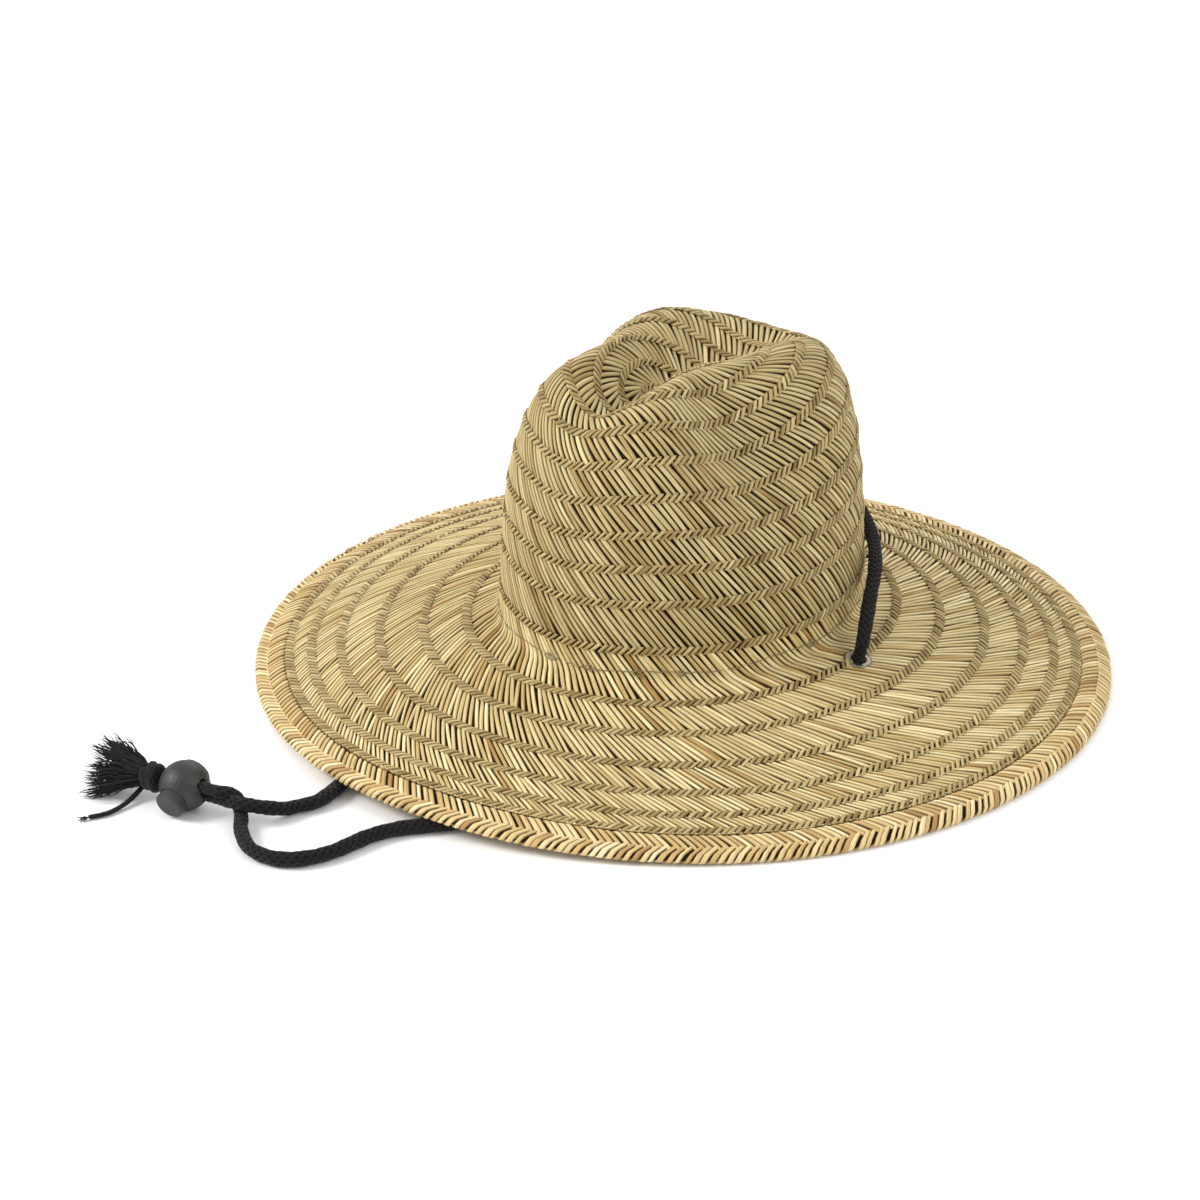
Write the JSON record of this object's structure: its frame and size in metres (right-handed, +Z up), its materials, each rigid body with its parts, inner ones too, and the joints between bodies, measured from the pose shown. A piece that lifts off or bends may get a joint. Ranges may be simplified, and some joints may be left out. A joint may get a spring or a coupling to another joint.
{
  "type": "wide-brim woven straw sun hat",
  "caption": "Wide-brim woven straw sun hat with a creased, pinched crown, plaited rim, eyelets and a black chin cord closed by a sprung ball cord lock.",
  "frame": {"origin": "on the table under the middle of the hat, at the bottom centre of the hat without its cord", "axes": "+Z up through the crown; the hat stands on its rim; +Y points away from the usual viewer; the wearer's front faces the direction 130 degrees clockwise from +X"},
  "size_m": [0.5122, 0.434, 0.1736],
  "materials": {
    "crown_straw": "dry olive-beige rush straw, woven, faint wax sheen",
    "brim_straw": "dry yellow-tan rush straw, woven",
    "edge_straw": "golden rush straw, wide plait",
    "band_knit": "black knitted elastic",
    "clear_nylon": "clear nylon thread",
    "nickel": "nickel plated thin sheet, soft polish",
    "washer_steel": "plain plated washer",
    "black_cord": "black knitted cotton cord, matte",
    "black_yarn": "black cotton yarn, matte",
    "ball_plastic": "moulded dark grey, satin",
    "button_plastic": "moulded dark grey, satin",
    "spring_steel": "spring wire"
  },
  "bodies": {
    "hat": {"crown_tip_weave": "crown_straw", "crown_side_weave": "crown_straw", "brim_inner_weave": "brim_straw", "brim_outer_weave": "brim_straw", "brim_edge_braid": "edge_straw", "sweatband": "band_knit", "sweatband_thread": "clear_nylon", "right_eyelet": "nickel", "left_eyelet": "nickel", "right_eyelet_washer": "washer_steel", "left_eyelet_washer": "washer_steel", "chin_cord": "black_cord", "cord_knot": "black_cord", "upper_frayed_end": "black_yarn", "lower_frayed_end": "black_yarn", "loose_yarn": "black_yarn"},
    "lock": {"lock_ball": "ball_plastic", "lock_spring": "spring_steel"},
    "button": {"lock_button": "button_plastic"}
  },
  "joints": [
    {"name": "lock_slide", "type": "slide", "parent": "hat", "child": "lock", "axis": [0.8818, -0.4716, 0], "range_m": [0, 0.006]},
    {"name": "button_press", "type": "slide", "parent": "lock", "child": "button", "axis": [0.4467, 0.8353, 0.3205], "range_m": [0, 0.0025], "stiffness_N_per_m": 1500, "springref_m": -0.002, "deforming": ["lock_spring"]}
  ]
}
